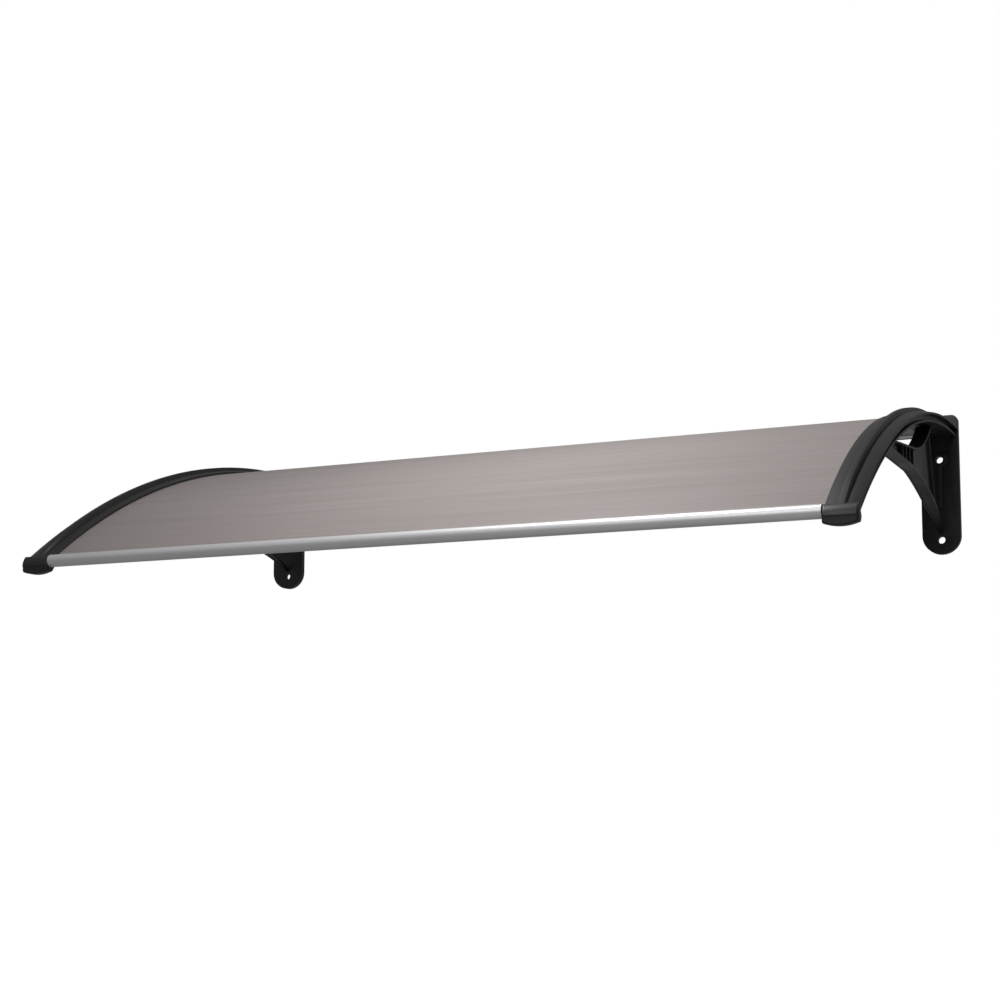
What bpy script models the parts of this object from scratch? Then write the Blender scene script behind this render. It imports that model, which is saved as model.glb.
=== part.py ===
"""Door canopy: a curved twin-wall sheet carried by two moulded wall brackets.

Metres. X runs along the wall, Y = 0 is the wall and the canopy reaches out towards -Y, Z is up.
The origin is on the wall, in the middle of the width, at the height of the sheet's rear edge.
Everything that follows the arch is placed by an angle about one axis, parallel to X.
"""
import math

import bmesh
import bpy

# Overall sizes
overall_width = 1.200
projection = 0.700
clearance = 0.0003

# Arch: radius of the sheet's middle surface, and the distance of its crown line from the wall
arch_radius = 1.122
crown_out = 0.020
arch_step = math.radians(1.6)
cap_face_in = 0.0095

# Sheet: twin-wall, with flutes along X
sheet_thickness = 0.0050
sheet_skin = 0.0006
flute_pitch = 0.0061
flute_web = 0.0005
sheet_edge_gap = 0.0005

# Wall plate of the bracket
plate_width = 0.057
plate_height = 0.212
plate_drop = 0.186
plate_thickness = 0.011
plate_corner = 0.010
plate_edge_round = 0.0012
wall_hole_diameter = 0.011
wall_hole_rise = 0.0215
wall_hole_spacing = 0.1225
boss_radius = 0.0125
boss_height = 0.0030
column_width = 0.009
column_low = 0.070

# Arm: a flange under the sheet's edge, and a rib that stands beside the sheet's edge
flange_thickness = 0.0030
flange_inset = 0.0030
rib_width = 0.0090
arm_seat = 0.004

# Cover strip over the sheet's edge
strip_front_width = 0.042
strip_edge_thickness = 0.0025
strip_edge_thickness_rear = 0.0042
strip_crown_thickness = 0.0055
spine_height = 0.0060
spine_front_height = 0.0018
spine_fall_length = 0.050
spine_width = 0.0110
spine_top_width = 0.0076
strip_shoulder_share = 0.8
foot_thickness = 0.0025
foot_inset = 0.0055

# Gasket between the flange and the sheet's edge
gasket_thickness = 0.0015
gasket_width = 0.0100

# Brace: a flattened quarter ellipse from the plate, then a straight run to the arm, seen from the side
brace_foot_rise = 0.030
brace_top_rise = 0.087
brace_bend_out = 0.260
brace_reach_out = 0.472
brace_end_slant = 0.0085
brace_start_turn = math.radians(4)
brace_roundness = 1.3
brace_fall = 0.003
brace_thickness = 0.0040
brace_half_width = 0.0088
brace_toe_half_width = 0.0016
brace_full_out = 0.130
brace_bead = 0.0024
brace_bead_proud = 0.0010

# Hammock: the curved flange under the arm's long opening
hammock_front_out = 0.450
hammock_end_slant = 0.0100
hammock_front_rise = 0.094
hammock_bend_out = 0.275
hammock_bend_rise = 0.112
hammock_rear_out = 0.141
hammock_rear_turn = math.radians(40)
hammock_thickness = 0.0030
hammock_half_width = 0.0110

# Strut, web panel and comb ribs between the hammock and the brace
strut_top_out = 0.138
strut_foot_out = 0.096
strut_half_width = 0.0065
strut_thickness = 0.0035
web_thickness = 0.0040
web_start_gap = 0.0020
comb_rib_outs = (0.346, 0.321, 0.296, 0.270)
comb_rib_thickness = 0.0030
comb_rib_half_width = 0.0080

# Front bar: a round nose with a slot for the sheet and one chamber
bar_radius = 0.0088
bar_wall = 0.0016
bar_offset = 0.0030
bar_from_cap_face = 0.0029
slot_air = 0.0003

# Front caps
cap_side_margin = 0.0005
cap_top_margin = 0.0021
cap_crease_drop = 0.0147
cap_bottom_drop = 0.0260
cap_end_lift = 0.0040
cap_corner = 0.0030
cap_step = 0.0012
cap_chamfer = 0.0018
cap_depth = 0.0155
spigot_length = 0.012
spigot_height = 0.004
tongue_length = 0.014
tongue_seat_in = 0.0060

# Rear rail and wall seal
seal_thickness = 0.0032
seal_height = 0.0090
rail_out = 0.0245
rail_height = 0.0078
rail_floor_out = 0.0128
rail_wall = 0.0016

# Screws
screw_shank_diameter = 0.0038
screw_head_diameter = 0.0076
screw_head_height = 0.0026
screw_recess_depth = 0.0012
strip_screw_outs = (0.070, 0.205, 0.345, 0.515, projection - 0.070)
screw_sides = 12
screw_point_share = 0.60
screw_rim_share = 0.45
screw_crown_share = 0.72
screw_recess_share = 0.38
screw_recess_floor_share = 0.30

# How finely the curves are divided, and the angle above which an edge stays sharp
boss_sides = 24
column_sides = 12
wall_hole_sides = 20
brace_steps = 14
hammock_steps = 8
plate_end_steps = 16
plate_corner_steps = 5
bar_steps = 30
chamber_steps = 20
spigot_steps = 10
brow_steps = 8
cap_corner_steps = 4
cap_middle_steps = 8
bevel_angle = math.radians(60)
sharp_angle = math.radians(30)

# Values that follow from the ones above
bracket_x = (overall_width - plate_width) / 2
arch_axis_z = -arch_radius
sheet_top = arch_radius + sheet_thickness / 2
sheet_bottom = arch_radius - sheet_thickness / 2
gasket_top = sheet_bottom - clearance
gasket_bottom = gasket_top - gasket_thickness
flange_top = gasket_bottom - clearance
flange_bottom = flange_top - flange_thickness
strip_bottom = sheet_top + clearance
strip_crown = strip_bottom + strip_crown_thickness
cap_top = strip_crown + cap_top_margin
plate_bottom = -plate_drop
low_hole_z = plate_bottom + wall_hole_rise
high_hole_z = low_hole_z + wall_hole_spacing
screw_hole_diameter = screw_shank_diameter + 2 * clearance
sheet_half_length = bracket_x - rib_width / 2 - sheet_edge_gap
cap_half_width = strip_front_width / 2 + cap_side_margin
bar_half_length = bracket_x - cap_half_width - clearance
rail_half_length = bracket_x - plate_width / 2 - clearance


def arch_point(radius, angle):
    """Point (y, z) of the arch at an angle forward of its crown line."""
    return (-crown_out - radius * math.sin(angle), arch_axis_z + radius * math.cos(angle))


def arch_angle(out, radius):
    """Angle at which a radius of the arch is a given distance out from the wall."""
    return math.asin((out - crown_out) / radius)


cap_face_angle = arch_angle(projection - cap_face_in, strip_crown)
arm_front_angle = cap_face_angle - clearance / arch_radius
bar_angle = cap_face_angle + bar_from_cap_face / arch_radius


def stations(start, end):
    """Angles from start to end, on one grid that every piece of the arch shares."""
    first = math.floor(start / arch_step) + 1
    last = math.ceil(end / arch_step) - 1
    inner = [arch_step * count for count in range(first, last + 1)]
    return [start] + inner + [end]


def arch_band(low_radius, high_radius, start, end):
    """Closed outline (y, z) of a band between two radii of the arch."""
    angles = stations(start, end)
    outline = [arch_point(high_radius, angle) for angle in angles]
    return outline + [arch_point(low_radius, angle) for angle in reversed(angles)]


def make_collection(name):
    collection = bpy.data.collections.new(name)
    bpy.context.scene.collection.children.link(collection)
    return collection


def make_material(name, colour, roughness, metallic=0.0):
    material = bpy.data.materials.new(name)
    material.use_nodes = True
    shader = material.node_tree.nodes["Principled BSDF"]
    shader.inputs["Base Color"].default_value = (*colour, 1.0)
    shader.inputs["Roughness"].default_value = roughness
    shader.inputs["Metallic"].default_value = metallic
    return material


def object_from_bmesh(name, shape, collection):
    """Weld, point the faces outwards and link the mesh as an object."""
    bmesh.ops.remove_doubles(shape, verts=shape.verts, dist=1e-6)
    bmesh.ops.recalc_face_normals(shape, faces=shape.faces)
    mesh = bpy.data.meshes.new(name)
    shape.to_mesh(mesh)
    shape.free()
    thing = bpy.data.objects.new(name, mesh)
    collection.objects.link(thing)
    return thing


def prism(name, outlines, x_low, x_high, collection):
    """Solid between two X planes with the given (y, z) outlines, the later ones as holes."""
    curve = bpy.data.curves.new(name, "CURVE")
    curve.dimensions = "2D"
    curve.fill_mode = "BOTH"
    curve.extrude = (x_high - x_low) / 2
    for outline in outlines:
        spline = curve.splines.new("POLY")
        spline.points.add(len(outline) - 1)
        for point, (y, z) in zip(spline.points, outline):
            point.co = (y, z, 0, 1)
        spline.use_cyclic_u = True
    guide = bpy.data.objects.new(name, curve)
    guide.rotation_euler = (math.pi / 2, 0, math.pi / 2)
    guide.location.x = (x_low + x_high) / 2
    collection.objects.link(guide)
    bpy.context.view_layer.update()
    evaluated = guide.evaluated_get(bpy.context.evaluated_depsgraph_get())
    mesh = bpy.data.meshes.new_from_object(evaluated)
    mesh.transform(guide.matrix_world)
    bpy.data.objects.remove(guide)
    shape = bmesh.new()
    shape.from_mesh(mesh)
    bpy.data.meshes.remove(mesh)
    return object_from_bmesh(name, shape, collection)


def loft(name, rings, collection):
    """Solid through rings of (x, y, z) points that all have the same count."""
    shape = bmesh.new()
    rows = [[shape.verts.new(point) for point in ring] for ring in rings]
    count = len(rows[0])
    for row, following in zip(rows, rows[1:]):
        for k in range(count):
            after = (k + 1) % count
            shape.faces.new((row[k], row[after], following[after], following[k]))
    shape.faces.new(rows[0])
    shape.faces.new(rows[-1])
    return object_from_bmesh(name, shape, collection)


def apply_modifiers(thing):
    bpy.context.view_layer.update()
    evaluated = thing.evaluated_get(bpy.context.evaluated_depsgraph_get())
    mesh = bpy.data.meshes.new_from_object(evaluated)
    thing.modifiers.clear()
    thing.data = mesh


def join(base, pieces):
    """Unite the pieces with the base into one body."""
    for piece in pieces:
        union = base.modifiers.new("union", "BOOLEAN")
        union.operation = "UNION"
        union.object = piece
        apply_modifiers(base)
        bpy.data.objects.remove(piece)
    return base


def cut(thing, cutters):
    """Subtract cutters, which stay in the scene as wire guides."""
    for cutter in cutters:
        hole = thing.modifiers.new("cut", "BOOLEAN")
        hole.operation = "DIFFERENCE"
        hole.object = cutter
        cutter.hide_render = True
        cutter.display_type = "WIRE"


def finish(thing, material, centre_x=0.0):
    """Give the piece its material, place it across the width and shade its round faces."""
    thing.data.materials.clear()
    thing.data.materials.append(material)
    thing.data.shade_smooth()
    thing.data.set_sharp_from_angle(angle=sharp_angle)
    thing.location.x = centre_x
    return thing


def cylinder(name, diameter, start, end, sides, collection):
    """Cylinder between two points."""
    (x1, y1, z1), (x2, y2, z2) = start, end
    length = math.dist(start, end)
    middle = ((x1 + x2) / 2, (y1 + y2) / 2, (z1 + z2) / 2)
    tilt = math.acos((z2 - z1) / length)
    turn = math.atan2(y2 - y1, x2 - x1)
    bpy.ops.mesh.primitive_cylinder_add(
        vertices=sides, radius=diameter / 2, depth=length, location=middle, rotation=(0, tilt, turn))
    thing = bpy.context.object
    thing.name = name
    for owner in thing.users_collection:
        owner.objects.unlink(thing)
    collection.objects.link(thing)
    return thing


def strip_half_width(out):
    """The arm and its strip widen evenly from the cap to the full width of the wall plate."""
    front = strip_front_width / 2
    return front + (plate_width / 2 - front) * (1 - out / projection)


def swept_section(name, section, base_radius, start, end, collection):
    """Sweep section(out), a list of (x, height), along the arch from a base radius."""
    rings = []
    for angle in stations(start, end):
        out = -arch_point(base_radius, angle)[0]
        ring = []
        for x, height in section(out):
            y, z = arch_point(base_radius + height, angle)
            ring.append((x, y, z))
        rings.append(ring)
    return loft(name, rings, collection)


def arm_section(out):
    edge = strip_half_width(out) - flange_inset
    rib = rib_width / 2
    rib_height = sheet_top - flange_bottom
    return [
        (-edge, 0), (edge, 0), (edge, flange_thickness), (rib, flange_thickness),
        (rib, rib_height), (-rib, rib_height), (-rib, flange_thickness), (-edge, flange_thickness)]


def strip_section(side):
    """Section of the cover strip; its foot stands on the flange on the outer side."""
    foot_depth = strip_bottom - flange_top - clearance

    def section(out):
        half_width = strip_half_width(out)
        edge = strip_edge_thickness_rear
        edge += (strip_edge_thickness - strip_edge_thickness_rear) * out / projection
        fall = max(0.0, 1 - (projection - cap_face_in - out) / spine_fall_length)
        foot_out = half_width - flange_inset - foot_inset
        foot_in = foot_out - foot_thickness
        shoulder = (half_width + spine_width / 2) / 2
        shoulder_height = edge + strip_shoulder_share * (strip_crown_thickness - edge)
        spine_top = strip_crown_thickness + spine_height - (spine_height - spine_front_height) * fall
        outline = [
            (-half_width, 0), (-half_width, edge), (-shoulder, shoulder_height),
            (-spine_width / 2, strip_crown_thickness), (-spine_top_width / 2, spine_top),
            (spine_top_width / 2, spine_top), (spine_width / 2, strip_crown_thickness),
            (shoulder, shoulder_height), (half_width, edge), (half_width, 0),
            (foot_out, 0), (foot_out, -foot_depth), (foot_in, -foot_depth), (foot_in, 0)]
        return [(side * x, height) for x, height in outline]

    return section


def brace_half_width_at(out):
    """Half width of the brace, drawn in to a narrow toe at the wall plate."""
    share = min(1.0, (out - plate_thickness) / (brace_full_out - plate_thickness))
    return brace_toe_half_width + (brace_half_width - brace_toe_half_width) * math.sin(share * math.pi / 2)


def brace_line():
    """Points (out, rise) of the brace's lower face from the toe, with the way (out, rise) across it."""
    reach = brace_bend_out - plate_thickness
    height = brace_top_rise - brace_foot_rise
    power = 2 / brace_roundness
    line = []
    for count in range(brace_steps + 1):
        turn = brace_start_turn + (math.pi / 2 - brace_start_turn) * count / brace_steps
        cosine = max(0.0, math.cos(turn))
        sine = math.sin(turn)
        out = brace_bend_out - reach * cosine ** power
        rise = brace_foot_rise + height * sine ** power
        across = math.atan2(reach * sine, height * sine ** (power - 1) * cosine ** (2 - power))
        line.append((out, rise, (-math.cos(across), math.sin(across))))
    line.append((brace_reach_out, brace_top_rise - brace_fall, (-brace_end_slant / brace_thickness, 1.0)))
    return line


def brace_at(out):
    """Rise of the brace's lower face at a distance from the wall."""
    if out >= brace_bend_out:
        share = (out - brace_bend_out) / (brace_reach_out - brace_bend_out)
        return brace_top_rise - brace_fall * share
    reach = brace_bend_out - plate_thickness
    height = brace_top_rise - brace_foot_rise
    share = ((brace_bend_out - out) / reach) ** brace_roundness
    return brace_foot_rise + height * (1 - share) ** (1 / brace_roundness)


def brace_piece(collection):
    """Curved brace with a raised bead along both edges of its lower face."""
    rings = []
    for out, rise, across in brace_line():
        half = brace_half_width_at(out)
        bead = min(brace_bead, half / 2)
        section = [
            (-half, -brace_bead_proud), (-half + bead, -brace_bead_proud), (-half + bead, 0),
            (half - bead, 0), (half - bead, -brace_bead_proud), (half, -brace_bead_proud),
            (half, brace_thickness), (-half, brace_thickness)]
        ring = []
        for x, height in section:
            y = -out - height * across[0]
            z = plate_bottom + rise + height * across[1]
            ring.append((x, y, z))
        rings.append(ring)
    toe_half = brace_toe_half_width
    toe = [(x, -plate_thickness / 2, z) for x, y, z in rings[0]]
    toe = [(math.copysign(min(abs(x), toe_half), x), y, z) for x, y, z in toe]
    return loft("brace", [toe] + rings, collection)


def hammock_line():
    """Points of the hammock's lower face from the front, as brace_line: a straight run, then an arc."""
    run = hammock_front_out - hammock_bend_out
    slope = math.atan2(hammock_bend_rise - hammock_front_rise, run)
    radius = (hammock_bend_out - hammock_rear_out) / (math.sin(hammock_rear_turn) - math.sin(slope))
    line = [(hammock_front_out, hammock_front_rise, (-hammock_end_slant / hammock_thickness, 1.0))]
    for count in range(hammock_steps + 1):
        turn = slope + (hammock_rear_turn - slope) * count / hammock_steps
        out = hammock_bend_out - radius * (math.sin(turn) - math.sin(slope))
        rise = hammock_bend_rise + radius * (math.cos(slope) - math.cos(turn))
        line.append((out, rise, (math.sin(turn), math.cos(turn))))
    return line


def hammock_at(out):
    """Rise of the hammock's lower face at a distance from the wall, on its straight run."""
    share = (hammock_front_out - out) / (hammock_front_out - hammock_bend_out)
    return hammock_front_rise + (hammock_bend_rise - hammock_front_rise) * share


def hammock_piece(collection):
    """Flange under the long opening, with its rear end run up into the arm."""
    lower = []
    upper = []
    for out, rise, across in hammock_line():
        low_z = plate_bottom + rise
        lower.append((-out, low_z))
        upper.append((-out - hammock_thickness * across[0], low_z + hammock_thickness * across[1]))
    outline = lower + upper[::-1]
    return prism("hammock", [outline], -hammock_half_width, hammock_half_width, collection)


def arm_underside(out):
    """Height of the flange's lower face at a distance from the wall."""
    return arch_point(flange_bottom, arch_angle(out, flange_bottom))[1]


def strut_ends():
    """Upper and lower end (out, z) of the strut's middle line, inside the arm and the brace."""
    top = arm_underside(strut_top_out) + flange_thickness / 2
    foot = plate_bottom + brace_at(strut_foot_out) + brace_thickness / 2
    return [(strut_top_out, top), (strut_foot_out, foot)]


def strut_piece(collection):
    half = strut_thickness / 2
    (top_out, top), (foot_out, foot) = strut_ends()
    outline = [
        (-top_out - half, top), (-top_out + half, top), (-foot_out + half, foot), (-foot_out - half, foot)]
    return prism("strut", [outline], -strut_half_width, strut_half_width, collection)


def web_outline():
    """Outline (y, z) of the thin panel between the hammock, the strut and the brace."""
    outline = []
    for out, rise, across in hammock_line():
        outline.append((-out, plate_bottom + rise + hammock_thickness / 2))
    foot_out, foot = strut_ends()[1]
    outline.append((-foot_out, foot))
    for out, rise, across in brace_line():
        if strut_foot_out + web_start_gap < out < hammock_front_out:
            outline.append((-out, plate_bottom + rise + brace_thickness / 2))
    return outline


def comb_rib(out, collection):
    low = plate_bottom + brace_at(out) + brace_thickness / 2
    high = plate_bottom + hammock_at(out) + hammock_thickness / 2
    half = comb_rib_thickness / 2
    outline = [(-out - half, low), (-out + half, low), (-out + half, high), (-out - half, high)]
    return prism("comb_rib", [outline], -comb_rib_half_width, comb_rib_half_width, collection)


def plate_outline():
    """Plate seen along Y: a half-round lower end and two rounded upper corners."""
    half = plate_width / 2
    top = plate_bottom + plate_height
    outline = []
    for count in range(plate_end_steps + 1):
        turn = math.pi + math.pi * count / plate_end_steps
        outline.append((half * math.cos(turn), plate_bottom + half + half * math.sin(turn)))
    for side in (1, -1):
        for count in range(plate_corner_steps + 1):
            step = count if side > 0 else plate_corner_steps - count
            turn = math.pi / 2 * step / plate_corner_steps
            x = side * (half - plate_corner + plate_corner * math.cos(turn))
            outline.append((x, top - plate_corner + plate_corner * math.sin(turn)))
    return outline


def plate_piece(collection):
    """Wall plate, with the round boss and the upright column on its face."""
    shape = bmesh.new()
    outline = plate_outline()
    back = [shape.verts.new((x, 0, z)) for x, z in outline]
    face = shape.faces.new(back)
    grown = bmesh.ops.extrude_face_region(shape, geom=[face])
    moved = [item for item in grown["geom"] if isinstance(item, bmesh.types.BMVert)]
    bmesh.ops.translate(shape, verts=moved, vec=(0, -plate_thickness, 0))
    plate = object_from_bmesh("plate", shape, collection)
    rounding = plate.modifiers.new("edge_round", "BEVEL")
    rounding.width = plate_edge_round
    rounding.segments = 1
    rounding.limit_method = "ANGLE"
    rounding.angle_limit = bevel_angle
    apply_modifiers(plate)
    seat = -plate_thickness / 2
    boss = cylinder(
        "boss", 2 * boss_radius, (0, seat, high_hole_z),
        (0, -plate_thickness - boss_height, high_hole_z), boss_sides, collection)
    column = cylinder(
        "column", column_width, (0, -plate_thickness, plate_bottom + column_low),
        (0, -plate_thickness, high_hole_z - boss_radius / 2), column_sides, collection)
    return join(plate, [boss, column])


def bracket_piece(parts):
    """One moulded bracket, centred on X = 0: plate, arm, brace, hammock, strut and web."""
    bracket = plate_piece(parts)
    rear_angle = arch_angle(arm_seat, flange_bottom)
    arm = swept_section("arm", arm_section, flange_bottom, rear_angle, arm_front_angle, parts)
    web = prism("web", [web_outline()], -web_thickness / 2, web_thickness / 2, parts)
    ribs = [comb_rib(out, parts) for out in comb_rib_outs]
    flanges = [arm, brace_piece(parts), hammock_piece(parts)]
    return join(bracket, flanges + ribs + [strut_piece(parts), web])


def screw_line(out):
    """Angle of a screw whose head bears on the flange at a distance from the wall."""
    return arch_angle(out, flange_bottom)


def radial_point(x, radius, angle):
    y, z = arch_point(radius, angle)
    return (x, y, z)


def screw_hole(name, x, out, top_radius, collection):
    """Cutter for a screw hole from under the flange up to a radius of the arch."""
    angle = screw_line(out)
    start = radial_point(x, flange_bottom - flange_thickness, angle)
    end = radial_point(x, top_radius, angle)
    return cylinder(name, screw_hole_diameter, start, end, screw_sides, collection)


def screw(name, x, out, tip_radius, material, collection):
    """Pan-head screw with its head under the flange and its point up in the piece it holds."""
    angle = screw_line(out)
    head_seat = flange_bottom - clearance
    length = tip_radius - head_seat
    head = screw_head_diameter / 2
    shank = screw_shank_diameter / 2
    recess = screw_recess_depth - screw_head_height
    profile = [
        (0, length), (shank * screw_point_share, length - shank), (shank, length - 2 * shank),
        (shank, 0), (head, 0), (head, -screw_head_height * screw_rim_share),
        (head * screw_crown_share, -screw_head_height), (head * screw_recess_share, -screw_head_height),
        (head * screw_recess_floor_share, recess), (0, recess)]
    mesh = bpy.data.meshes.new(name)
    edges = [(k, k + 1) for k in range(len(profile) - 1)]
    mesh.from_pydata([(radius, 0, height) for radius, height in profile], edges, [])
    thing = bpy.data.objects.new(name, mesh)
    collection.objects.link(thing)
    turned = thing.modifiers.new("turned", "SCREW")
    turned.steps = screw_sides
    turned.render_steps = screw_sides
    turned.use_merge_vertices = True
    turned.merge_threshold = 0.00001
    turned.use_smooth_shade = False
    apply_modifiers(thing)
    finish(thing, material)
    thing.location = radial_point(x, head_seat, angle)
    thing.rotation_euler = (angle, 0, 0)
    return thing


def make_brackets(parts, cutters, plastic):
    master = bracket_piece(parts)
    for side, word in ((-1, "left"), (1, "right")):
        centre = side * bracket_x
        bracket = bpy.data.objects.new("bracket_" + word, master.data)
        parts.objects.link(bracket)
        finish(bracket, plastic, centre)
        holes = []
        for label, z in (("low", low_hole_z), ("high", high_hole_z)):
            start = (centre, 2 * clearance, z)
            end = (centre, -2 * plate_thickness, z)
            name = "wall_hole_" + label + "_" + word
            holes.append(cylinder(name, wall_hole_diameter, start, end, wall_hole_sides, cutters))
        for number, out in enumerate(strip_screw_outs, 1):
            name = "arm_hole_" + word + "_" + str(number)
            holes.append(screw_hole(name, centre, out, strip_crown, cutters))
        name = "flange_hole_" + word
        x = centre + side * tongue_middle()
        holes.append(screw_hole(name, x, cap_screw_out(), flange_top + clearance, cutters))
        cut(bracket, holes)
    bpy.data.objects.remove(master)


def make_strips(parts, cutters, plastic):
    rear = arch_angle(plate_thickness + clearance, strip_bottom)
    tip = strip_crown + spine_height / 2 + clearance
    for side, word in ((-1, "left"), (1, "right")):
        centre = side * bracket_x
        strip = swept_section(
            "cover_strip_" + word, strip_section(side), strip_bottom, rear, arm_front_angle, parts)
        finish(strip, plastic, centre)
        holes = []
        for number, out in enumerate(strip_screw_outs, 1):
            name = "strip_hole_" + word + "_" + str(number)
            holes.append(screw_hole(name, centre, out, tip, cutters))
        cut(strip, holes)


def make_strip_screws(parts, steel):
    tip = strip_crown + spine_height / 2
    for side, word in ((-1, "left"), (1, "right")):
        for number, out in enumerate(strip_screw_outs, 1):
            name = "strip_screw_" + word + "_" + str(number)
            screw(name, side * bracket_x, out, tip, steel, parts)


def make_gaskets(parts, rubber):
    rear = arch_angle(plate_thickness + clearance, gasket_bottom)
    outline = arch_band(gasket_bottom, gasket_top, rear, arm_front_angle)
    for side, word in ((-1, "left"), (1, "right")):
        outer = bracket_x - rib_width / 2 - clearance
        ends = sorted((side * outer, side * (outer - gasket_width)))
        gasket = prism("edge_gasket_" + word, [outline], ends[0], ends[1], parts)
        finish(gasket, rubber)


def make_sheet(parts, polycarbonate):
    """Twin-wall sheet: one curved outline with a row of flutes that run through along X."""
    rear = arch_angle(rail_floor_out + clearance, arch_radius)
    outlines = [arch_band(sheet_bottom, sheet_top, rear, arm_front_angle)]
    pitch = flute_pitch / arch_radius
    web = flute_web / arch_radius
    count = int((arm_front_angle - rear - web) / pitch)
    start = rear + (arm_front_angle - rear - count * pitch + web) / 2
    for number in range(count):
        first = start + number * pitch
        last = first + pitch - web
        low = sheet_bottom + sheet_skin
        high = sheet_top - sheet_skin
        outlines.append([
            arch_point(low, first), arch_point(low, last), arch_point(high, last), arch_point(high, first)])
    sheet = prism("canopy_sheet", outlines, -sheet_half_length, sheet_half_length, parts)
    finish(sheet, polycarbonate)


def bar_point(along, across):
    """Point (y, z) in the bar's own axes: along the sheet towards its edge, and out of its face."""
    y, z = arch_point(arch_radius + bar_offset + across, bar_angle)
    return (y - along * math.cos(bar_angle), z - along * math.sin(bar_angle))


def bar_arc(radius, start, end, steps):
    """Points of an arc about the bar's centre; 0 degrees is along the sheet, 90 out of its face."""
    points = []
    for count in range(steps + 1):
        turn = start + (end - start) * count / steps
        points.append(bar_point(radius * math.cos(turn), radius * math.sin(turn)))
    return points


def make_bar(parts, aluminium):
    slot_high = -bar_offset + sheet_thickness / 2 + slot_air
    slot_low = -bar_offset - sheet_thickness / 2 - slot_air
    slot_floor = -bar_from_cap_face + slot_air
    upper = math.pi - math.asin(slot_high / bar_radius)
    lower = -math.pi - math.asin(slot_low / bar_radius)
    outer = bar_arc(bar_radius, upper, lower, bar_steps)
    outer += [bar_point(slot_floor, slot_low), bar_point(slot_floor, slot_high)]
    inner_radius = bar_radius - bar_wall
    ledge = slot_high + bar_wall
    wall = slot_floor + bar_wall
    start = math.pi - math.asin(ledge / inner_radius)
    end = -math.acos(wall / inner_radius)
    chamber = bar_arc(inner_radius, start, end, chamber_steps) + [bar_point(wall, ledge)]
    bar = prism("front_bar", [outer, chamber], -bar_half_length, bar_half_length, parts)
    finish(bar, aluminium)


def spigot_outline():
    """Section of the cap's spigot, a running fit in the lower part of the bar's chamber."""
    radius = bar_radius - bar_wall - clearance
    wall = -bar_from_cap_face + slot_air + bar_wall + clearance
    start = math.asin(spigot_height / radius)
    end = -math.acos(wall / radius)
    return [bar_point(wall, spigot_height)] + bar_arc(radius, start, end, spigot_steps)


def cap_ring(x):
    """Side outline of a cap at a distance from its middle: brow, small step, face and bottom."""
    top_y, top_z = arch_point(cap_top, cap_face_angle)
    low_y, low_z = arch_point(flange_bottom - clearance, cap_face_angle)
    past = max(0.0, abs(x) - cap_half_width + cap_corner)
    front = -projection + cap_corner - math.sqrt(cap_corner ** 2 - min(past, cap_corner) ** 2)
    crease_z = top_z - cap_crease_drop
    bottom_z = top_z - cap_bottom_drop + cap_end_lift * (x / cap_half_width) ** 2
    pull_z = top_z - (projection + top_y) * math.tan(cap_face_angle)
    brow = []
    for count in range(brow_steps + 1):
        share = count / brow_steps
        weight_a = (1 - share) ** 2
        weight_b = 2 * share * (1 - share)
        weight_c = share ** 2
        y = weight_a * top_y + (weight_b + weight_c) * front
        brow.append((y, weight_a * top_z + weight_b * pull_z + weight_c * crease_z))
    face = front + cap_step
    rear = -projection + cap_depth
    return brow + [
        (face, crease_z), (face, bottom_z + cap_chamfer), (face + cap_chamfer, bottom_z),
        (rear - cap_chamfer, bottom_z), (rear, bottom_z + cap_chamfer), (low_y, low_z)]


def cap_stations():
    """Distances from a cap's middle at which its outline is set, closer together at the corners."""
    flat = cap_half_width - cap_corner
    inner = [flat * (2 * count / cap_middle_steps - 1) for count in range(cap_middle_steps + 1)]
    turns = [math.pi / 2 * count / cap_corner_steps for count in range(1, cap_corner_steps + 1)]
    outer = [flat + cap_corner * math.sin(turn) for turn in turns]
    return [-x for x in reversed(outer)] + inner + outer


def tongue_middle():
    """Distance of the cap's tongue from the bracket's middle, between its rib and strip foot."""
    return (rib_width / 2 + tongue_outer()) / 2


def tongue_outer():
    return strip_half_width(projection - cap_face_in) - flange_inset - foot_inset - foot_thickness - clearance


def cap_screw_out():
    return -arch_point(flange_bottom, cap_face_angle - tongue_length / 2 / arch_radius)[0]


def make_caps(parts, cutters, plastic, steel):
    seat = arch_angle(projection - tongue_seat_in, strip_crown)
    tongue_rear = cap_face_angle - tongue_length / arch_radius
    tongue_low = flange_top + clearance
    tongue_high = strip_bottom - clearance
    for side, word in ((-1, "left"), (1, "right")):
        centre = side * bracket_x
        rings = [[(centre + x, y, z) for y, z in cap_ring(x)] for x in cap_stations()]
        cap = loft("front_cap_" + word, rings, parts)
        inner = centre - side * (cap_half_width - spigot_length / 2)
        tip = centre - side * (cap_half_width + spigot_length)
        ends = sorted((inner, tip))
        spigot = prism("spigot", [spigot_outline()], ends[0], ends[1], parts)
        near = centre + side * (rib_width / 2 + clearance)
        far = centre + side * tongue_outer()
        ends = sorted((near, far))
        band = arch_band(tongue_low, tongue_high, tongue_rear, seat)
        tongue = prism("tongue", [band], ends[0], ends[1], parts)
        join(cap, [spigot, tongue])
        finish(cap, plastic)
        x = centre + side * tongue_middle()
        hole_top = tongue_high - 2 * clearance
        hole = screw_hole("cap_hole_" + word, x, cap_screw_out(), hole_top, cutters)
        cut(cap, [hole])
        screw("cap_screw_" + word, x, cap_screw_out(), hole_top - clearance, steel, parts)


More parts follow.
